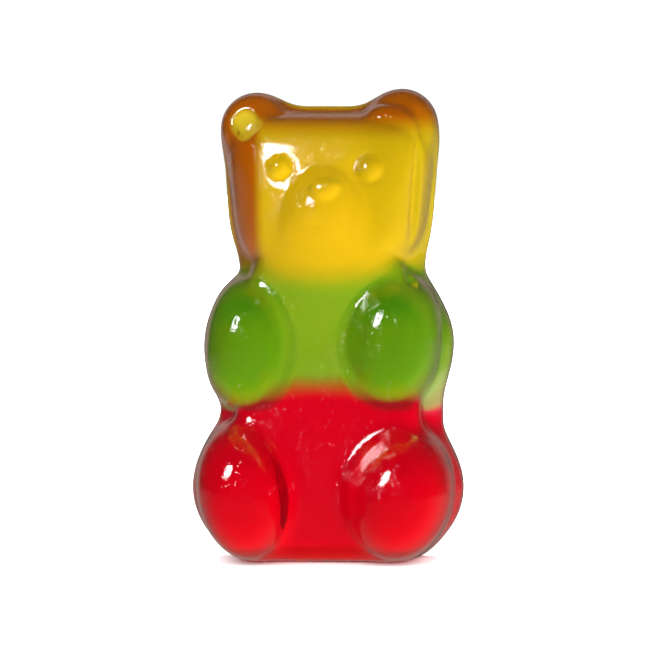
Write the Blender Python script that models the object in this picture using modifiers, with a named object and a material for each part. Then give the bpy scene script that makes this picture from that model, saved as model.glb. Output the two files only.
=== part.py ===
"""A gummy bear, moulded in one piece from three pours of jelly: a yellow head, a green chest with both
arms, and a red seat with both legs. Metres, +Z up. The bear faces -Y and stands on its flat seat.

The bear is a set of rounded forms, each given by its middle, its half sizes and how boxy it is. They melt
into each other with fillets, as they do in the mould. Spheres shaped like the forms are joined and
remeshed, and the points then settle onto the smooth skin that the forms make together. Last, the bear is
cut into its three pours where the colours meet.
"""

import math

import bmesh
import bpy
import numpy as np

MM = 0.001

# How tall the bear stands. The forms below fill it.
HEIGHT = 22.0 * MM
# The forms are placed from the back of the mould and the middle of the face. This puts the origin under
# the middle of the bear.
CENTRE = (0.122 * MM, 4.65 * MM, 0.0)

# Where the colours meet, up the bear. The green of the arms hangs down into the red all round them.
YELLOW_FROM = 13.4 * MM
GREEN_FROM = 8.0 * MM
ARM_DIP = 0.25 * MM
# The hairline between two pours, which keeps their solids from sharing faces.
POUR_GAP = 0.02 * MM

# The open side of the mould leaves a flat back, which sinks a little between the sides as the jelly dries.
BACK_SINK = 0.22 * MM
SINK_HALF_WIDTH = 4.2 * MM
BACK_EDGE = 0.5 * MM
SEAT_EDGE = 0.2 * MM
DOME_EDGE = 0.5 * MM
# What is trimmed off the seat, so that it is one true plane.
TRIM = 0.02 * MM

COLOURS = {
    "head_yellow": (0.70, 0.42, 0.01),
    "chest_green": (0.16, 0.33, 0.01),
    "seat_red": (0.62, 0.0, 0.008),
}
ROUGHNESS = 0.15

# How finely the skin is drawn, and how many triangles are kept.
VOXEL = 0.13 * MM
TRIANGLES = 8500
SKINS = 3
# How the points settle onto the skin: rounds, steps in each, how far apart the skin is felt for its slope,
# and the least squared slope that a step is worked out from.
SETTLING_ROUNDS = 2
NEWTON_STEPS = 4
PROBE = 0.002 * MM
LEAST_STEEPNESS = 0.25


class Form:
    """One rounded form. Its middle is (x, depth from the back, height), and its half sizes run the same way.

    plan and profile say how boxy it is, seen from the front and towards its front: 2 for an ellipsoid, more
    for squarer. taper narrows it towards its front, and fall makes it lower there, as much as the taper
    where it isn't given. pinch narrows it downwards, splay moves its front out sideways, and lean turns it
    in the front view. A dome rounds its front to a ball of that radius, whose nearest point is at the height
    dome_at. blend is the reach of the fillet around it.
    """

    def __init__(
        self,
        middle,
        half,
        plan=2.0,
        profile=2.0,
        taper=0.0,
        fall=None,
        pinch=0.0,
        splay=0.0,
        lean=0.0,
        dome=0.0,
        dome_at=0.0,
        blend=0.6,
    ):
        x, depth, z = middle
        self.middle = np.array([x, -depth, z]) * MM
        self.half = np.array(half) * MM
        self.plan = plan
        self.profile = profile
        self.taper = taper
        self.fall = taper if fall is None else fall
        self.pinch = pinch
        self.splay = splay
        self.blend = blend * MM
        self.dome = dome * MM
        self.dome_middle = np.array([x, dome - depth - half[1], dome_at]) * MM
        c, s = math.cos(math.radians(lean)), math.sin(math.radians(lean))
        self.turn = np.array([[c, 0, -s], [0, 1, 0], [s, 0, c]])

    def unbend(self, points):
        """The points as shares of the half sizes, with splay, taper and pinch taken out."""
        share = (points - self.middle) @ self.turn / self.half
        forward = np.clip(-share[:, 1], -1, 1)
        narrow = 1 - self.taper * forward
        pinched = 1 + self.pinch * np.clip(share[:, 2], -1, 1)
        share[:, 0] = (share[:, 0] - self.splay * forward) / (narrow * pinched)
        share[:, 2] = share[:, 2] / (1 - self.fall * forward)
        return share

    def bend(self, share):
        """The points that unbend makes these shares of."""
        forward = -share[:, 1]
        narrow = 1 - self.taper * forward
        high = share[:, 2] * (1 - self.fall * forward)
        wide = share[:, 0] * narrow * (1 + self.pinch * high) + self.splay * forward
        return self.middle + (np.stack([wide, share[:, 1], high], axis=1) * self.half) @ self.turn.T

    def level(self, share):
        """1 on the form's skin and less inside it."""
        size = np.maximum(np.abs(share), 1e-6)
        front = size[:, 0] ** self.plan + size[:, 2] ** self.plan
        return (front ** (self.profile / self.plan) + size[:, 1] ** self.profile) ** (1 / self.profile)

    def distance(self, points):
        """About how far each point is outside the form, and below 0 inside it."""
        share = self.unbend(points)
        size = np.maximum(np.abs(share), 1e-6)
        front = size[:, 0] ** self.plan + size[:, 2] ** self.plan
        level = self.level(share)
        outward = front ** (self.profile / self.plan - 1)
        slope_x = outward * size[:, 0] ** (self.plan - 1) / self.half[0]
        slope_z = outward * size[:, 2] ** (self.plan - 1) / self.half[2]
        slope_y = size[:, 1] ** (self.profile - 1) / self.half[1]
        slope = level ** (1 - self.profile) * np.sqrt(slope_x**2 + slope_y**2 + slope_z**2)
        found = (level - 1) / slope
        if self.dome:
            ball = np.sqrt(((points - self.dome_middle) ** 2).sum(axis=1)) - self.dome
            found = -melt(-found, -ball, DOME_EDGE)
        return found


def melt(a, b, reach):
    """The nearer of two distances, with a fillet of that reach where they meet."""
    if reach <= 0:
        return np.minimum(a, b)
    share = np.maximum(reach - np.abs(a - b), 0) / reach
    return np.minimum(a, b) - share**2 * reach / 4


LEFT_ARM = Form((-3.7, 0, 10.15), (2.1, 7.4, 3.2), plan=2.3, profile=3.0, lean=-5, blend=0.4)
RIGHT_ARM = Form((2.85, 0, 10.35), (2.42, 7.4, 3.25), plan=2.3, profile=3.0, splay=0.1, lean=-4, blend=0.4)
# The plate behind everything, as wide as the bear's outline.
PLATE = [
    Form((-0.02, 0, 17.2), (4.85, 1.6, 4.0), plan=3.6, profile=3.0, pinch=0.03, blend=0.0),
    Form((-3.5, 0, 20.22), (1.64, 3.5, 1.6), profile=3.0, blend=1.0),
    Form((3.35, 0, 20.34), (1.68, 3.5, 1.67), profile=3.0, blend=1.0),
    Form((0.1, 0, 12.5), (4.35, 3.3, 4.5), plan=3.0, profile=3.0, blend=0.8),
    Form((0.05, 0, 5.95), (5.25, 3.4, 6.15), plan=3.6, profile=3.4, blend=0.8),
    Form((-3.5, 0, 10.0), (2.4, 3.6, 2.7), profile=3.0, blend=1.0),
    Form((3.4, 0, 10.15), (2.4, 3.6, 2.75), profile=3.0, blend=1.0),
    Form((-2.9, 0, 3.2), (3.55, 3.6, 3.13), profile=3.0, blend=0.8),
    Form((2.85, 0, 3.27), (3.4, 3.6, 3.2), profile=3.0, blend=0.8),
]
# What stands out from the plate, beginning with the trunk and the head.
TRUNK = Form(
    (0.1, 0, 7.4),
    (4.4, 6.2, 7.64),
    plan=5.0,
    profile=8.0,
    taper=0.03,
    pinch=-0.12,
    dome=80.0,
    dome_at=3.5,
    blend=0.9,
)
HEAD = Form(
    (0.03, 0, 17.3),
    (4.8, 6.75, 3.62),
    plan=4.5,
    profile=3.4,
    taper=0.1,
    fall=0.0,
    pinch=0.08,
    dome=11.0,
    dome_at=15.8,
    blend=0.5,
)
RELIEF = [
    TRUNK,
    HEAD,
    Form((0, 0, 13.0), (3.3, 5.9, 2.7), plan=2.5, profile=2.5, blend=1.5),
    Form((2.9, 0, 20.0), (1.55, 4.7, 1.5), plan=2.3, profile=6.0, taper=0.12, blend=0.2),
    Form((-3.2, 0, 19.8), (1.2, 4.9, 1.1), plan=2.5, profile=3.0, taper=0.2, blend=0.6),
    LEFT_ARM,
    RIGHT_ARM,
    Form((-3.75, 0, 3.27), (2.4, 9.2, 3.37), profile=3.2, lean=10, blend=0.7),
    Form((3.15, 0, 3.22), (2.7, 9.3, 3.32), profile=3.0, splay=0.12, lean=-9, blend=0.6),
    Form((0.0, 5.6, 16.45), (2.2, 2.1, 2.25), pinch=-0.2, blend=0.2),
    Form((0.0, 5.2, 14.7), (2.5, 1.75, 1.6), blend=1.2),
    Form((0.05, 7.3, 17.45), (0.68, 0.62, 0.52), plan=2.3, pinch=0.3, blend=0.2),
]
# What is pressed into it: the inside of the left ear, the sockets of the eyes, the mouth, and a fold down
# the right side of the head.
HOLLOWS = [
    Form((-3.9, 4.7, 20.5), (0.68, 1.7, 0.75), plan=3.5, profile=3.0, lean=40, blend=0.3),
    Form((-3.3, 4.9, 20.85), (0.4, 1.0, 0.25), plan=3.0, profile=3.0, lean=-25, blend=0.2),
    Form((-2.1, 6.8, 18.5), (0.82, 0.8, 0.84), blend=0.3),
    Form((2.05, 6.8, 18.55), (0.95, 0.8, 0.9), blend=0.3),
    Form((-0.5, 7.66, 15.8), (0.4, 0.12, 0.07), blend=0.15),
    Form((4.1, 4.6, 15.9), (0.2, 0.7, 4.2), lean=-3, blend=0.3),
]
# The eyes stand in their sockets.
EYES = [
    Form((-2.1, 5.95, 18.45), (0.54, 0.8, 0.56), blend=0.15),
    Form((2.05, 5.95, 18.4), (0.64, 0.8, 0.6), blend=0.15),
]


def outside(points):
    """About how far each point is outside the bear."""
    found = PLATE[0].distance(points)
    for form in PLATE[1:] + RELIEF:
        found = melt(found, form.distance(points), form.blend)
    for form in HOLLOWS:
        found = -melt(-found, form.distance(points), form.blend)
    for form in EYES:
        found = melt(found, form.distance(points), form.blend)
    x, y, z = points.T
    middle_up = (z - HEIGHT / 2) / HEIGHT * 2
    across = np.maximum(1 - (x / SINK_HALF_WIDTH) ** 2, 0)
    dish = BACK_SINK * across * np.maximum(1 - middle_up**4, 0)
    found = -melt(-found, -(y + dish), BACK_EDGE)
    return -melt(-found, z, SEAT_EDGE)


def ball_of(form, reach=0.0, subdivisions=4):
    """A sphere stretched to the form's shape, and larger all round by the reach."""
    shape = bmesh.new()
    bmesh.ops.create_icosphere(shape, subdivisions=subdivisions, radius=1)
    share = np.array([vert.co for vert in shape.verts])
    points = form.bend(share / form.level(share)[:, None])
    outward = points - form.middle
    outward /= np.sqrt((outward**2).sum(axis=1))[:, None]
    for vert, point in zip(shape.verts, points + outward * reach):
        vert.co = point
    return shape


def add_object(name, shape, collection):
    """Makes an object of the bmesh, and frees it."""
    mesh = bpy.data.meshes.new(name)
    shape.to_mesh(mesh)
    shape.free()
    obj = bpy.data.objects.new(name, mesh)
    collection.objects.link(obj)
    return obj


def rough_bear(collection):
    """All the forms in one mesh, each still a ball of its own."""
    whole = bmesh.new()
    for form in PLATE + RELIEF + EYES:
        ball = add_object("ball", ball_of(form), collection)
        whole.from_mesh(ball.data)
        bpy.data.objects.remove(ball)
    trim(whole, (0, 0, 0), (0, 1, 0))
    trim(whole, (0, 0, 0), (0, 0, -1))
    return add_object("bear", whole, collection)


def remesh(obj):
    """Redraws the object's skin with evenly spaced points."""
    skin = obj.modifiers.new("skin", "REMESH")
    skin.mode = "VOXEL"
    skin.voxel_size = VOXEL
    apply_modifiers(obj)


def trim(shape, point, outward):
    """Cuts off what lies beyond a plane, and closes the cut."""
    everything = shape.verts[:] + shape.edges[:] + shape.faces[:]
    cut = bmesh.ops.bisect_plane(shape, geom=everything, plane_co=point, plane_no=outward, clear_outer=True)
    rim = [item for item in cut["geom_cut"] if isinstance(item, bmesh.types.BMEdge)]
    bmesh.ops.holes_fill(shape, edges=rim)


def apply_modifiers(obj):
    """Makes the object's mesh what its modifiers show, and removes them."""
    graph = bpy.context.evaluated_depsgraph_get()
    made = bpy.data.meshes.new_from_object(obj.evaluated_get(graph))
    obj.modifiers.clear()
    old = obj.data
    obj.data = made
    bpy.data.meshes.remove(old)


def flatten_seat(obj):
    """Trims the seat to one true plane, and stands the bear on it."""
    shape = bmesh.new()
    shape.from_mesh(obj.data)
    trim(shape, (0, 0, TRIM), (0, 0, -1))
    bmesh.ops.translate(shape, verts=shape.verts, vec=(0, 0, -TRIM))
    shape.to_mesh(obj.data)
    shape.free()


def settle(obj):
    """Slides the mesh's points onto the bear's smooth skin, evening them out between rounds."""
    mesh = obj.data
    points = np.empty(len(mesh.vertices) * 3)
    mesh.vertices.foreach_get("co", points)
    points = points.reshape(-1, 3)
    ends = np.empty(len(mesh.edges) * 2, int)
    mesh.edges.foreach_get("vertices", ends)
    ends = ends.reshape(-1, 2)
    ends = np.concatenate([ends, ends[:, ::-1]])
    neighbours = np.bincount(ends[:, 0], minlength=len(points))[:, None]
    probes = np.eye(3) * PROBE
    for round_number in range(SETTLING_ROUNDS):
        for _ in range(NEWTON_STEPS):
            gap = outside(points)
            slope = np.stack([outside(points + probe) - gap for probe in probes], axis=1) / PROBE
            steepness = np.maximum((slope**2).sum(axis=1), LEAST_STEEPNESS)
            points = points - slope * np.clip(gap / steepness, -VOXEL, VOXEL)[:, None]
        if round_number < SETTLING_ROUNDS - 1:
            around = np.stack([np.bincount(ends[:, 0], points[ends[:, 1], i]) for i in range(3)], axis=1)
            points = (points + around / neighbours) / 2
    mesh.vertices.foreach_set("co", points.ravel())
    mesh.update()


def slab(name, low, high, cutters):
    """A box wider than the bear, between two heights, named for where it lies."""
    shape = bmesh.new()
    bmesh.ops.create_cube(shape, size=1)
    for vert in shape.verts:
        vert.co = (vert.co.x * HEIGHT, vert.co.y * HEIGHT, high if vert.co.z > 0 else low)
    return add_object(name, shape, cutters)


def boolean(obj, operation, cutter):
    modifier = obj.modifiers.new(cutter.name, "BOOLEAN")
    modifier.operation = operation
    modifier.solver = "EXACT"
    modifier.object = cutter


def red_shape(name, grow, cutters):
    """What the red pour fills, apart from the bear's own skin: everything low down but the arms' dips."""
    red = slab(name, -HEIGHT, GREEN_FROM + grow, cutters)
    for side, arm in (("left", LEFT_ARM), ("right", RIGHT_ARM)):
        dip = add_object(f"{name}_{side}", ball_of(arm, ARM_DIP - grow, subdivisions=3), cutters)
        boolean(red, "DIFFERENCE", dip)
    return red


def jelly(name, colour):
    material = bpy.data.materials.new(name)
    material.use_nodes = True
    shader = material.node_tree.nodes["Principled BSDF"]
    shader.inputs["Base Color"].default_value = (*colour, 1)
    shader.inputs["Roughness"].default_value = ROUGHNESS
    shader.inputs["Metallic"].default_value = 0
    return material


def main():
    for obj in list(bpy.data.objects):
        bpy.data.objects.remove(obj)
    scene = bpy.context.scene.collection
    pours = bpy.data.collections.new("gummy_bear")
    cutters = bpy.data.collections.new("cutters")
    scene.children.link(pours)
    scene.children.link(cutters)

    bear = rough_bear(pours)
    for _ in range(SKINS):
        remesh(bear)
        settle(bear)
    fewer = bear.modifiers.new("fewer", "DECIMATE")
    fewer.ratio = TRIANGLES / (2 * len(bear.data.polygons))
    apply_modifiers(bear)
    flatten_seat(bear)

    half_gap = POUR_GAP / 2
    above = slab("above", YELLOW_FROM + half_gap, 2 * HEIGHT, cutters)
    not_above = slab("not_above", YELLOW_FROM - half_gap, 2 * HEIGHT, cutters)
    below = red_shape("below", -half_gap, cutters)
    not_below = red_shape("not_below", half_gap, cutters)
    cuts = {
        "head_yellow": [("INTERSECT", above)],
        "chest_green": [("DIFFERENCE", not_above), ("DIFFERENCE", not_below)],
        "seat_red": [("INTERSECT", below)],
    }
    for name, steps in cuts.items():
        pour = bpy.data.objects.new(name, bear.data.copy())
        pours.objects.link(pour)
        pour.data.materials.append(jelly("jelly_" + name.split("_")[1], COLOURS[name]))
        for operation, cutter in steps:
            boolean(pour, operation, cutter)
    bpy.data.objects.remove(bear)
    for cutter in cutters.objects:
        cutter.hide_render = True
        cutter.display_type = "WIRE"
    for obj in pours.objects[:] + cutters.objects[:]:
        obj.location = CENTRE


main()
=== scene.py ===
"""The gummy bear in its jelly: one clear sweet, yellow above, green in the middle and red below, on a plain
pale floor. The shape is the frame's own, drawn more finely, so the lengths here are those of the frame.
"""

import math

import bmesh
import bpy
import numpy as np
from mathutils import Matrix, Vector


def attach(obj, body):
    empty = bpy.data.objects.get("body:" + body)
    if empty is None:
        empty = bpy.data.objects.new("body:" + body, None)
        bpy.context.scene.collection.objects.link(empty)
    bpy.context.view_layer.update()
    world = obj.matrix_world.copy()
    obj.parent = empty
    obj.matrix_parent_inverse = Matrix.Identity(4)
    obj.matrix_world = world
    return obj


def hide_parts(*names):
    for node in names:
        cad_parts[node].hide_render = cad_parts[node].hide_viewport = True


MM = 0.001

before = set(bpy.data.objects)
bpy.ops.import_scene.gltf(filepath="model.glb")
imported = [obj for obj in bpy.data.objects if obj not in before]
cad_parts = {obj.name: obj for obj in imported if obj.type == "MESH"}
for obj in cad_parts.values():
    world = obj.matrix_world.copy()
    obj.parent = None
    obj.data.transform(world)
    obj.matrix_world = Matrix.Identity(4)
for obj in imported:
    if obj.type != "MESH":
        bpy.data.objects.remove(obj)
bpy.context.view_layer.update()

# ---- the bear's form, as in the frame ----

HEIGHT = 22.0 * MM
CENTRE = (0.122 * MM, 4.65 * MM, 0.0)
BACK_SINK = 0.22 * MM
SINK_HALF_WIDTH = 4.2 * MM
BACK_EDGE = 0.5 * MM
SEAT_EDGE = 0.2 * MM
DOME_EDGE = 0.5 * MM
SEAT_TRIM = 0.02 * MM

# Each skin is drawn with points this far apart, and settled this many times.
SKIN_VOXELS = (0.2 * MM, 0.14 * MM, 0.108 * MM)
SETTLING_ROUNDS = 2
NEWTON_STEPS = 4
PROBE = 0.002 * MM
LEAST_STEEPNESS = 0.25
# Each form begins as a ball that is split this often. No share of a half size counts as less than this.
BALL_SPLITS = 4
LEAST_SHARE = 1e-6


class Form:
    """One rounded form. Its middle is (x, depth from the back, height), and its half sizes run the same way.

    plan and profile say how boxy it is, seen from the front and towards its front: 2 for an ellipsoid, more
    for squarer. taper narrows it towards its front, and fall makes it lower there, as much as the taper
    where it isn't given. pinch narrows it downwards, splay moves its front out sideways, and lean turns it
    in the front view. A dome rounds its front to a ball of that radius, whose nearest point is at the height
    dome_at. blend is the reach of the fillet around it.
    """

    def __init__(
        self,
        middle,
        half,
        plan=2.0,
        profile=2.0,
        taper=0.0,
        fall=None,
        pinch=0.0,
        splay=0.0,
        lean=0.0,
        dome=0.0,
        dome_at=0.0,
        blend=0.6,
    ):
        x, depth, z = middle
        self.middle = np.array([x, -depth, z]) * MM
        self.half = np.array(half) * MM
        self.plan = plan
        self.profile = profile
        self.taper = taper
        self.fall = taper if fall is None else fall
        self.pinch = pinch
        self.splay = splay
        self.blend = blend * MM
        self.dome = dome * MM
        self.dome_middle = np.array([x, dome - depth - half[1], dome_at]) * MM
        c, s = math.cos(math.radians(lean)), math.sin(math.radians(lean))
        self.turn = np.array([[c, 0, -s], [0, 1, 0], [s, 0, c]])

    def unbend(self, points):
        """The points as shares of the half sizes, with splay, taper and pinch taken out."""
        share = (points - self.middle) @ self.turn / self.half
        forward = np.clip(-share[:, 1], -1, 1)
        narrow = 1 - self.taper * forward
        pinched = 1 + self.pinch * np.clip(share[:, 2], -1, 1)
        share[:, 0] = (share[:, 0] - self.splay * forward) / (narrow * pinched)
        share[:, 2] = share[:, 2] / (1 - self.fall * forward)
        return share

    def bend(self, share):
        """The points that unbend makes these shares of."""
        forward = -share[:, 1]
        narrow = 1 - self.taper * forward
        high = share[:, 2] * (1 - self.fall * forward)
        wide = share[:, 0] * narrow * (1 + self.pinch * high) + self.splay * forward
        return self.middle + (np.stack([wide, share[:, 1], high], axis=1) * self.half) @ self.turn.T

    def level(self, share):
        """1 on the form's skin and less inside it."""
        size = np.maximum(np.abs(share), LEAST_SHARE)
        front = size[:, 0] ** self.plan + size[:, 2] ** self.plan
        return (front ** (self.profile / self.plan) + size[:, 1] ** self.profile) ** (1 / self.profile)

    def distance(self, points):
        """About how far each point is outside the form, and below 0 inside it."""
        share = self.unbend(points)
        size = np.maximum(np.abs(share), LEAST_SHARE)
        front = size[:, 0] ** self.plan + size[:, 2] ** self.plan
        level = self.level(share)
        outward = front ** (self.profile / self.plan - 1)
        slope_x = outward * size[:, 0] ** (self.plan - 1) / self.half[0]
        slope_z = outward * size[:, 2] ** (self.plan - 1) / self.half[2]
        slope_y = size[:, 1] ** (self.profile - 1) / self.half[1]
        slope = level ** (1 - self.profile) * np.sqrt(slope_x**2 + slope_y**2 + slope_z**2)
        found = (level - 1) / slope
        if self.dome:
            ball = np.sqrt(((points - self.dome_middle) ** 2).sum(axis=1)) - self.dome
            found = -melt(-found, -ball, DOME_EDGE)
        return found


def melt(a, b, reach):
    """The nearer of two distances, with a fillet of that reach where they meet."""
    if reach <= 0:
        return np.minimum(a, b)
    share = np.maximum(reach - np.abs(a - b), 0) / reach
    return np.minimum(a, b) - share**2 * reach / 4


# The arms.
LEFT_ARM = Form((-3.7, 0, 10.15), (2.1, 7.4, 3.2), plan=2.3, profile=3.0, lean=-5, blend=0.4)
RIGHT_ARM = Form((2.85, 0, 10.35), (2.42, 7.4, 3.25), plan=2.3, profile=3.0, splay=0.1, lean=-4, blend=0.4)
# The plate behind everything, as wide as the bear's outline.
PLATE = [
    Form((-0.02, 0, 17.2), (4.85, 1.6, 4.0), plan=3.6, profile=3.0, pinch=0.03, blend=0.0),
    Form((-3.5, 0, 20.22), (1.64, 3.5, 1.6), profile=3.0, blend=1.0),
    Form((3.35, 0, 20.34), (1.68, 3.5, 1.67), profile=3.0, blend=1.0),
    Form((0.1, 0, 12.5), (4.35, 3.3, 4.5), plan=3.0, profile=3.0, blend=0.8),
    Form((0.05, 0, 5.95), (5.25, 3.4, 6.15), plan=3.6, profile=3.4, blend=0.8),
    Form((-3.5, 0, 10.0), (2.4, 3.6, 2.7), profile=3.0, blend=1.0),
    Form((3.4, 0, 10.15), (2.4, 3.6, 2.75), profile=3.0, blend=1.0),
    Form((-2.9, 0, 3.2), (3.55, 3.6, 3.13), profile=3.0, blend=0.8),
    Form((2.85, 0, 3.27), (3.4, 3.6, 3.2), profile=3.0, blend=0.8),
]
# What stands out from the plate, beginning with the trunk and the head.
TRUNK = Form(
    (0.1, 0, 7.4),
    (4.4, 6.2, 7.64),
    plan=5.0,
    profile=8.0,
    taper=0.03,
    pinch=-0.12,
    dome=80.0,
    dome_at=3.5,
    blend=0.9,
)
HEAD = Form(
    (0.03, 0, 17.3),
    (4.8, 6.75, 3.62),
    plan=4.5,
    profile=3.4,
    taper=0.1,
    fall=0.0,
    pinch=0.08,
    dome=11.0,
    dome_at=15.8,
    blend=0.5,
)
RELIEF = [
    TRUNK,
    HEAD,
    Form((0, 0, 13.0), (3.3, 5.9, 2.7), plan=2.5, profile=2.5, blend=1.5),
    Form((2.9, 0, 20.0), (1.55, 4.7, 1.5), plan=2.3, profile=6.0, taper=0.12, blend=0.2),
    Form((-3.2, 0, 19.8), (1.2, 4.9, 1.1), plan=2.5, profile=3.0, taper=0.2, blend=0.6),
    LEFT_ARM,
    RIGHT_ARM,
    Form((-3.75, 0, 3.27), (2.4, 9.2, 3.37), profile=3.2, lean=10, blend=0.7),
    Form((3.15, 0, 3.22), (2.7, 9.3, 3.32), profile=3.0, splay=0.12, lean=-9, blend=0.6),
    Form((0.0, 5.6, 16.45), (2.2, 2.1, 2.25), pinch=-0.2, blend=0.2),
    Form((0.0, 5.2, 14.7), (2.5, 1.75, 1.6), blend=1.2),
    Form((0.05, 7.3, 17.45), (0.68, 0.62, 0.52), plan=2.3, pinch=0.3, blend=0.2),
]
# What is pressed into it: the inside of the left ear, the sockets of the eyes, the mouth, and a fold down
# the right side of the head.
HOLLOWS = [
    Form((-3.9, 4.7, 20.5), (0.68, 1.7, 0.75), plan=3.5, profile=3.0, lean=40, blend=0.3),
    Form((-3.3, 4.9, 20.85), (0.4, 1.0, 0.25), plan=3.0, profile=3.0, lean=-25, blend=0.2),
    Form((-2.1, 6.8, 18.5), (0.82, 0.8, 0.84), blend=0.3),
    Form((2.05, 6.8, 18.55), (0.95, 0.8, 0.9), blend=0.3),
    Form((-0.5, 7.66, 15.8), (0.4, 0.12, 0.07), blend=0.15),
    Form((4.1, 4.6, 15.9), (0.2, 0.7, 4.2), lean=-3, blend=0.3),
]
# The eyes stand in their sockets.
EYES = [
    Form((-2.1, 5.95, 18.45), (0.54, 0.8, 0.56), blend=0.15),
    Form((2.05, 5.95, 18.4), (0.64, 0.8, 0.6), blend=0.15),
]


def outside(points):
    """About how far each point is outside the bear."""
    found = PLATE[0].distance(points)
    for form in PLATE[1:] + RELIEF:
        found = melt(found, form.distance(points), form.blend)
    for form in HOLLOWS:
        found = -melt(-found, form.distance(points), form.blend)
    for form in EYES:
        found = melt(found, form.distance(points), form.blend)
    x, y, z = points.T
    middle_up = (z - HEIGHT / 2) / HEIGHT * 2
    across = np.maximum(1 - (x / SINK_HALF_WIDTH) ** 2, 0)
    dish = BACK_SINK * across * np.maximum(1 - middle_up**4, 0)
    found = -melt(-found, -(y + dish), BACK_EDGE)
    return -melt(-found, z, SEAT_EDGE)


def slope_at(points, gap):
    """Which way and how fast the distance outside the bear grows."""
    probes = np.eye(3) * PROBE
    return np.stack([outside(points + probe) - gap for probe in probes], axis=1) / PROBE


def add_object(name, shape):
    """Makes an object of the bmesh, and frees it."""
    mesh = bpy.data.meshes.new(name)
    shape.to_mesh(mesh)
    shape.free()
    obj = bpy.data.objects.new(name, mesh)
    bpy.context.scene.collection.objects.link(obj)
    return obj


def trim(shape, point, outward):
    """Cuts off what lies beyond a plane, and closes the cut."""
    everything = shape.verts[:] + shape.edges[:] + shape.faces[:]
    cut = bmesh.ops.bisect_plane(shape, geom=everything, plane_co=point, plane_no=outward, clear_outer=True)
    rim = [item for item in cut["geom_cut"] if isinstance(item, bmesh.types.BMEdge)]
    bmesh.ops.holes_fill(shape, edges=rim)


def rough_bear(name):
    """All the forms in one mesh, each still a ball of its own."""
    whole = bmesh.new()
    for form in PLATE + RELIEF + EYES:
        ball = bmesh.new()
        bmesh.ops.create_icosphere(ball, subdivisions=BALL_SPLITS, radius=1)
        share = np.array([vert.co for vert in ball.verts])
        for vert, point in zip(ball.verts, form.bend(share / form.level(share)[:, None])):
            vert.co = point
        mesh = bpy.data.meshes.new("ball")
        ball.to_mesh(mesh)
        ball.free()
        whole.from_mesh(mesh)
        bpy.data.meshes.remove(mesh)
    trim(whole, (0, 0, 0), (0, 1, 0))
    trim(whole, (0, 0, 0), (0, 0, -1))
    return add_object(name, whole)


def remesh(obj, voxel):
    """Redraws the object's skin with evenly spaced points."""
    skin = obj.modifiers.new("skin", "REMESH")
    skin.mode = "VOXEL"
    skin.voxel_size = voxel
    graph = bpy.context.evaluated_depsgraph_get()
    made = bpy.data.meshes.new_from_object(obj.evaluated_get(graph))
    obj.modifiers.clear()
    old = obj.data
    obj.data = made
    bpy.data.meshes.remove(old)


def points_of(mesh):
    """The mesh's points, one a row."""
    points = np.empty(len(mesh.vertices) * 3)
    mesh.vertices.foreach_get("co", points)
    return points.reshape(-1, 3)


def settle(obj, voxel):
    """Slides the mesh's points onto the bear's smooth skin, evening them out between rounds."""
    mesh = obj.data
    points = points_of(mesh)
    ends = np.empty(len(mesh.edges) * 2, int)
    mesh.edges.foreach_get("vertices", ends)
    ends = ends.reshape(-1, 2)
    ends = np.concatenate([ends, ends[:, ::-1]])
    neighbours = np.bincount(ends[:, 0], minlength=len(points))[:, None]
    for round_number in range(SETTLING_ROUNDS):
        for _ in range(NEWTON_STEPS):
            gap = outside(points)
            slope = slope_at(points, gap)
            steepness = np.maximum((slope**2).sum(axis=1), LEAST_STEEPNESS)
            points = points - slope * np.clip(gap / steepness, -voxel, voxel)[:, None]
        if round_number < SETTLING_ROUNDS - 1:
            around = np.stack([np.bincount(ends[:, 0], points[ends[:, 1], i]) for i in range(3)], axis=1)
            points = (points + around / neighbours) / 2
    mesh.vertices.foreach_set("co", points.ravel())
    mesh.update()


def bear_shape(name):
    """The whole bear, standing at the frame's origin."""
    obj = rough_bear(name)
    for voxel in SKIN_VOXELS:
        remesh(obj, voxel)
        settle(obj, voxel)
    shape = bmesh.new()
    shape.from_mesh(obj.data)
    trim(shape, (0, 0, SEAT_TRIM), (0, 0, -1))
    bmesh.ops.translate(shape, verts=shape.verts, vec=(CENTRE[0], CENTRE[1], -SEAT_TRIM))
    shape.to_mesh(obj.data)
    shape.free()
    obj.data.shade_smooth()
    return obj


gummy = bear_shape("gummy_bear")
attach(gummy, "root")
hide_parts("head_yellow", "chest_green", "seat_red")

# ---- shader nodes ----


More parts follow.
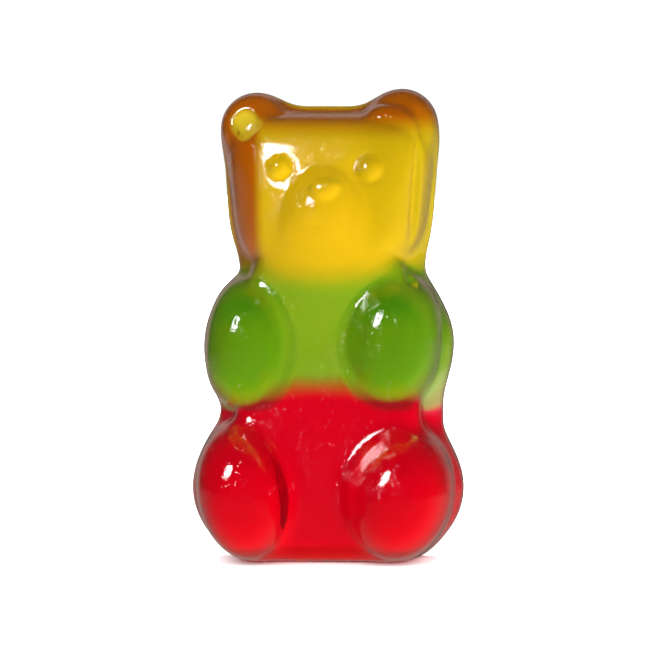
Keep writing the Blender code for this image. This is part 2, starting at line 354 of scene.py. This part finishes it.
class Tree:
    """A node tree, begun empty, with short ways to add to it."""

    def __init__(self, owner):
        owner.use_nodes = True
        self.nodes = owner.node_tree.nodes
        self.links = owner.node_tree.links
        self.nodes.clear()

    def feed(self, socket, value):
        """Links the socket to another node's socket, or sets it to a number, a vector or a colour."""
        if isinstance(value, bpy.types.NodeSocket):
            self.links.new(value, socket)
        elif socket.type == "RGBA":
            socket.default_value = (*value, 1)
        else:
            socket.default_value = value

    def add(self, kind, inputs, **settings):
        """A node with these settings, its inputs fed by their names or numbers."""
        node = self.nodes.new("ShaderNode" + kind)
        for name, value in settings.items():
            setattr(node, name, value)
        for key, value in inputs.items():
            self.feed(node.inputs[key], value)
        return node

    def math(self, operation, a, b):
        return self.add("Math", {0: a, 1: b}, operation=operation).outputs[0]

    def vector(self, operation, inputs):
        return self.add("VectorMath", inputs, operation=operation).outputs

    def step(self, value, low, high):
        """0 below low and 1 above high, easing in between."""
        inputs = {"Value": value, "From Min": low, "From Max": high}
        return self.add("MapRange", inputs, interpolation_type="SMOOTHSTEP").outputs["Result"]

    def fade(self, value, low, high):
        """1 below low and 0 above high, easing in between."""
        return self.math("SUBTRACT", 1, self.step(value, low, high))

    def mix(self, share, a, b):
        """Colour a where the share is 0 and colour b where it is 1."""
        return self.add("Mix", {"Factor": share, "A": a, "B": b}, data_type="RGBA").outputs["Result"]

    def blend(self, share, a, b):
        """Number a where the share is 0 and number b where it is 1."""
        inputs = {"Value": share, "To Min": a, "To Max": b}
        return self.add("MapRange", inputs, clamp=False).outputs["Result"]

    def near(self, where, middle, half, full=0.95, none=1.05):
        """1 inside an ellipsoid and 0 outside it, easing between these shares of its half sizes."""
        moved = self.vector("SUBTRACT", {0: where, 1: middle})[0]
        shares = self.vector("DIVIDE", {0: moved, 1: half})[0]
        return self.fade(self.vector("LENGTH", {0: shares})["Value"], full, none)

    def bumped(self, height, depth):
        """A normal for bumps of that height map, as deep as that."""
        return self.add("Bump", {"Distance": depth, "Height": height}).outputs["Normal"]


# ---- the jelly ----

# Below, two lengths are where a change begins and where it is full. Scales are in waves or pits a metre.

# Where the colours change, up the bear, with how far they run into each other.
YELLOW_FROM, YELLOW_SOFT = 13.5 * MM, 0.9 * MM
GREEN_FROM, GREEN_SOFT = 8.2 * MM, 0.65 * MM
# The meeting of two colours wanders a little, up and down.
WANDER_SCALE, WANDER = 350, 0.8 * MM
# The middle and half sizes of each arm's colour. The green reaches a little past them, but not to the legs.
LEFT_GREEN = (-3.6 * MM, 4.65 * MM, 10.2 * MM), (2.3 * MM, 9.0 * MM, 3.3 * MM)
RIGHT_GREEN = (3.1 * MM, 4.65 * MM, 10.35 * MM), (2.7 * MM, 9.0 * MM, 3.3 * MM)
PAST_ARM = 0.25 * MM
ABOVE_LEGS = 6.7 * MM, 6.9 * MM
# Painted shade: the head is painted golden below and to the right, and a darker amber on top and down its
# left side, but not at the back.
CHIN = 13.4 * MM, 15.8 * MM
CHEEK = 0.5 * MM, 3.0 * MM
TOP = 19.5 * MM, 20.9 * MM
LEFT_SIDE = 2.6 * MM, 3.3 * MM
NOT_BACK = 3.4 * MM, 4.3 * MM
# Painted light: the inside of the left ear is painted a brighter yellow-green.
EAR_MIDDLE = (-3.75 * MM, 1.0 * MM, 20.4 * MM)
EAR_HALF = (0.75 * MM, 4.0 * MM, 0.75 * MM)
EAR_FULL, EAR_NONE = 0.6, 1.1
# Painted shade: the arms are painted darker above, and the seat at its very bottom.
ARM_TOP = 10.8 * MM, 12.2 * MM
SEAT_BOTTOM = 0.55 * MM, 0.95 * MM
# The thin rim to the right of the waist is paler, as thin jelly is, and painted whitish too, a painted
# reflection of the bright room.
RIM = 4.45 * MM, 4.6 * MM
WAIST_LOW = 6.6 * MM, 7.4 * MM
WAIST_HIGH = 8.4 * MM, 9.2 * MM
FRONT_OF_RIM = 0.4 * MM, 1.4 * MM
RIM_PALE_AND_SHEEN_SHARE = 0.7

# The colours at the skin.
YELLOW = (0.98, 0.74, 0.015)
GOLD_SHADE = (0.76, 0.60, 0.01)
AMBER_SHADE = (0.50, 0.07, 0.002)
LIT_EAR_YELLOW_GREEN = (0.80, 0.66, 0.06)
GREEN = (0.44, 0.58, 0.025)
LEAF = (0.25, 0.44, 0.012)
MOSS_SHADE = (0.13, 0.42, 0.01)
RED = (0.90, 0.0005, 0.03)
CRIMSON_SHADE = (0.50, 0.0, 0.004)
PALE_AND_SHEEN = (1.0, 0.9, 0.85)
# The colours that the jelly soaks light to, and how fast, a metre.
YELLOW_DEEP = (0.95, 0.80, 0.20)
GREEN_DEEP = (0.55, 0.80, 0.20)
RED_DEEP = (0.95, 0.05, 0.15)
SOAK = 220

# The jelly is nearly clear, and cloudy for the rest. It swells a little, under a film of oil that is grainy
# and pitted. The film carries the highlights, so the jelly under it has little shine of its own.
CLEAR = 0.93
JELLY_IOR = 1.45
OWN_SHINE = (0.1, 0.1, 0.1)
SWELL_SCALE, SWELL_DEPTH = 1400, 0.006 * MM
FILM_IOR, FILM_ROUGHNESS, FILM_DEPTH = 1.45, 0.04, 0.02 * MM
GRAIN_SCALE, GRAIN_SHARE = 11000, 0.3
PIT_SCALE, PIT_SIZE = 5000, 0.38


def arms_within(tree, where, extra):
    """1 inside the arms, each drawn that much wider and taller."""
    left, right = [
        tree.near(where, middle, (half[0] + extra, half[1], half[2] + extra))
        for middle, half in (LEFT_GREEN, RIGHT_GREEN)
    ]
    return tree.math("MAXIMUM", left, right)


def head_colour_with_painted_light(tree, where, x, y, z):
    """Yellow, with painted shade in gold below and to the right and in amber on top and down the left side,
    and painted light in the left ear.
    """
    # Painted shade: gold below and to the right, amber on top and down the left side.
    golden = tree.mix(tree.math("MAXIMUM", tree.fade(z, *CHIN), tree.step(x, *CHEEK)), YELLOW, GOLD_SHADE)
    leftward = tree.math("MULTIPLY", x, -1)
    amber_shade_share = tree.math("MAXIMUM", tree.step(z, *TOP), tree.step(leftward, *LEFT_SIDE))
    golden = tree.mix(tree.math("MULTIPLY", tree.fade(y, *NOT_BACK), amber_shade_share), golden, AMBER_SHADE)
    # Painted light: a brighter yellow-green inside the left ear.
    ear = tree.near(where, EAR_MIDDLE, EAR_HALF, EAR_FULL, EAR_NONE)
    return tree.mix(ear, golden, LIT_EAR_YELLOW_GREEN)


def rim_pale_and_sheen(tree, arms, x, y, z):
    """How much of the pale colour, partly a painted reflection, is at the waist's right rim, clear of the
    arm.
    """
    share = tree.math("MULTIPLY", tree.step(x, *RIM), tree.math("SUBTRACT", 1, arms))
    waist = tree.math("MULTIPLY", tree.step(z, *WAIST_LOW), tree.fade(z, *WAIST_HIGH))
    share = tree.math("MULTIPLY", tree.math("MULTIPLY", share, waist), tree.step(y, *FRONT_OF_RIM))
    return tree.math("MULTIPLY", share, RIM_PALE_AND_SHEEN_SHARE)


def jelly_colours(tree, where):
    """The jelly's colour at its skin, and the one that it soaks light to."""
    x, y, z = tree.add("SeparateXYZ", {0: where}).outputs
    waves = tree.add("TexNoise", {"Vector": where, "Scale": WANDER_SCALE, "Detail": 2}).outputs["Fac"]
    height = tree.math("ADD", z, tree.math("MULTIPLY", tree.math("SUBTRACT", waves, 0.5), WANDER))
    is_yellow = tree.step(height, YELLOW_FROM - YELLOW_SOFT, YELLOW_FROM + YELLOW_SOFT)
    above_red = tree.step(height, GREEN_FROM - GREEN_SOFT, GREEN_FROM + GREEN_SOFT)
    around_arms = tree.math("MULTIPLY", tree.step(z, *ABOVE_LEGS), arms_within(tree, where, PAST_ARM))
    is_green = tree.math("MAXIMUM", above_red, around_arms)

    arms = arms_within(tree, where, 0)
    # Painted shade: the arms darker above, and the seat darker at its very bottom.
    leafy_and_shaded = tree.mix(arms, GREEN, tree.mix(tree.step(z, *ARM_TOP), LEAF, MOSS_SHADE))
    ruby_and_shaded = tree.mix(tree.step(z, *SEAT_BOTTOM), CRIMSON_SHADE, RED)
    skin = tree.mix(is_yellow, tree.mix(is_green, ruby_and_shaded, leafy_and_shaded), head_colour_with_painted_light(tree, where, x, y, z))
    # The right rim is paler where the jelly is thin, and partly a painted reflection.
    skin = tree.mix(rim_pale_and_sheen(tree, arms, x, y, z), skin, PALE_AND_SHEEN)
    deep = tree.mix(is_yellow, tree.mix(is_green, RED_DEEP, GREEN_DEEP), YELLOW_DEEP)
    return skin, deep


def film_height(tree, where):
    """The height map of the film of oil."""
    grain = tree.add("TexNoise", {"Vector": where, "Scale": GRAIN_SCALE, "Detail": 2}).outputs["Fac"]
    pits = tree.add("TexVoronoi", {"Vector": where, "Scale": PIT_SCALE}).outputs["Distance"]
    return tree.math("ADD", tree.math("MULTIPLY", grain, GRAIN_SHARE), tree.step(pits, 0.0, PIT_SIZE))


def jelly_material():
    material = bpy.data.materials.new("jelly")
    tree = Tree(material)
    where = tree.add("TexCoord", {}).outputs["Object"]
    skin, deep = jelly_colours(tree, where)
    swell = tree.add("TexNoise", {"Vector": where, "Scale": SWELL_SCALE, "Detail": 1}).outputs["Fac"]
    inputs = {
        "Base Color": skin,
        "Transmission Weight": CLEAR,
        "IOR": JELLY_IOR,
        "Roughness": 0.0,
        "Specular Tint": OWN_SHINE,
        "Normal": tree.bumped(swell, SWELL_DEPTH),
        "Coat Weight": 1.0,
        "Coat IOR": FILM_IOR,
        "Coat Roughness": FILM_ROUGHNESS,
        "Coat Normal": tree.bumped(film_height(tree, where), FILM_DEPTH),
    }
    jelly = tree.add("BsdfPrincipled", inputs)
    soak = tree.add("VolumeAbsorption", {"Color": deep, "Density": SOAK})
    tree.add("OutputMaterial", {"Surface": jelly.outputs[0], "Volume": soak.outputs[0]})
    return material


gummy.data.materials.append(jelly_material())

# ---- the floor ----

FLOOR_RADIUS = 0.6
FLOOR_COLOUR = (0.95, 0.95, 0.95)


def floor_material():
    material = bpy.data.materials.new("floor")
    tree = Tree(material)
    pale = tree.add("BsdfDiffuse", {"Color": FLOOR_COLOUR})
    tree.add("OutputMaterial", {"Surface": pale.outputs[0]})
    return material


floor_shape = bmesh.new()
bmesh.ops.create_circle(floor_shape, cap_ends=True, segments=128, radius=FLOOR_RADIUS)
floor = add_object("floor", floor_shape)
floor.data.materials.append(floor_material())
floor.visible_glossy = False
floor.visible_transmission = False

# ---- the light ----

# What the skin mirrors: a ring of warm wall round the dark straight behind, dimmer on the right, with hardly
# any light above and in front, and a little from the table. A direction is given by how far it points
# forward, to the right or down, out of 1.
DARK_BEHIND = -0.999, -0.985
RING_END = -0.97, -0.89
RING_RIGHT = 0.05, 0.35
RING, RING_AT_RIGHT = 0.3, 0.11
TABLE_FROM = 0.04, 0.09
IN_FRONT, TABLE = 0.02, 0.15
WARM, WHITE = (1.0, 0.70, 0.62), (1.0, 1.0, 1.0)
# What shines through it: brighter from the upper left.
MIDDLING, RIGHTWARD, UPWARD = 0.77, -0.6, 0.9
DIMMEST, BRIGHTEST = 0.5, 1.3
# What lights the floor and the little in the jelly that isn't clear, and what the camera sees.
ROOM = 3.0
BACKDROP = 1.05


def mirrored_light(tree, x, y, z):
    """How bright the room is in that direction, as the skin mirrors it."""
    forward = tree.math("MULTIPLY", y, -1)
    down = tree.math("MULTIPLY", z, -1)
    ring = tree.blend(tree.step(x, *RING_RIGHT), RING, RING_AT_RIGHT)
    ring = tree.math("MULTIPLY", tree.step(forward, *DARK_BEHIND), ring)
    rest = tree.blend(tree.step(down, *TABLE_FROM), IN_FRONT, TABLE)
    return tree.blend(tree.step(forward, *RING_END), ring, rest)


def shining_light(tree, x, z):
    """How bright the room is in that direction, as it shines through the jelly."""
    slope = tree.math("ADD", tree.math("MULTIPLY", x, RIGHTWARD), tree.math("MULTIPLY", z, UPWARD))
    lit = tree.math("MINIMUM", tree.math("ADD", slope, MIDDLING), BRIGHTEST)
    return tree.math("MAXIMUM", lit, DIMMEST)


def studio_world():
    """Light from all round, whose strength and colour depend on what kind of ray meets it."""
    world = bpy.data.worlds.new("studio")
    tree = Tree(world)
    direction = tree.add("TexCoord", {}).outputs["Generated"]
    x, y, z = tree.add("SeparateXYZ", {0: direction}).outputs
    ray = tree.add("LightPath", {}).outputs
    strength, tone = mirrored_light(tree, x, y, z), WARM
    others = (
        ("Is Transmission Ray", shining_light(tree, x, z)),
        ("Is Diffuse Ray", ROOM),
        ("Is Camera Ray", BACKDROP),
    )
    for kind, light in others:
        strength = tree.blend(ray[kind], strength, light)
        tone = tree.mix(ray[kind], tone, WHITE)
    background = tree.add("Background", {"Color": tone, "Strength": strength})
    tree.add("OutputWorld", {"Surface": background.outputs[0]})
    return world


def heading(azimuth, elevation):
    """The direction that many degrees round from the bear's front and that many up."""
    a, e = math.radians(azimuth), math.radians(elevation)
    return Vector((math.sin(a) * math.cos(e), -math.cos(a) * math.cos(e), math.sin(e)))


def aimed_object(name, data, target, away, far):
    """An object that far from the target, looking at it."""
    obj = bpy.data.objects.new(name, data)
    bpy.context.scene.collection.objects.link(obj)
    obj.location = target + away * far
    obj.rotation_euler = (-away).to_track_quat("-Z", "Y").to_euler()
    return obj


KEY_AZIMUTH, KEY_ELEVATION, KEY_FAR = -37, 31, 0.3
KEY_WIDTH, KEY_HEIGHT = 0.11, 0.15
KEY_RADIANCE = 35
KEY_TARGET = Vector((0, 0, HEIGHT / 2))

bpy.context.scene.world = studio_world()

key_light = bpy.data.lights.new("key", "AREA")
key_light.shape = "RECTANGLE"
key_light.size = KEY_WIDTH
key_light.size_y = KEY_HEIGHT
key_light.energy = KEY_RADIANCE * math.pi * KEY_WIDTH * KEY_HEIGHT
key = aimed_object("key", key_light, KEY_TARGET, heading(KEY_AZIMUTH, KEY_ELEVATION), KEY_FAR)
key.visible_diffuse = False
key.visible_transmission = False

# ---- the camera ----

SENSOR, LENS = 36, 474
NEAREST = 0.01
CAMERA_AZIMUTH, CAMERA_ELEVATION, CAMERA_FAR = 3, 2.5, 0.4
CAMERA_TARGET = Vector((0, 1.149 * MM, 11 * MM))

camera_data = bpy.data.cameras.new("camera")
camera_data.sensor_width = SENSOR
camera_data.lens = LENS
camera_data.clip_start = NEAREST
toward_camera = heading(CAMERA_AZIMUTH, CAMERA_ELEVATION)
camera = aimed_object("camera", camera_data, CAMERA_TARGET, toward_camera, CAMERA_FAR)
bpy.context.scene.camera = camera
bpy.context.scene.view_settings.view_transform = "Standard"
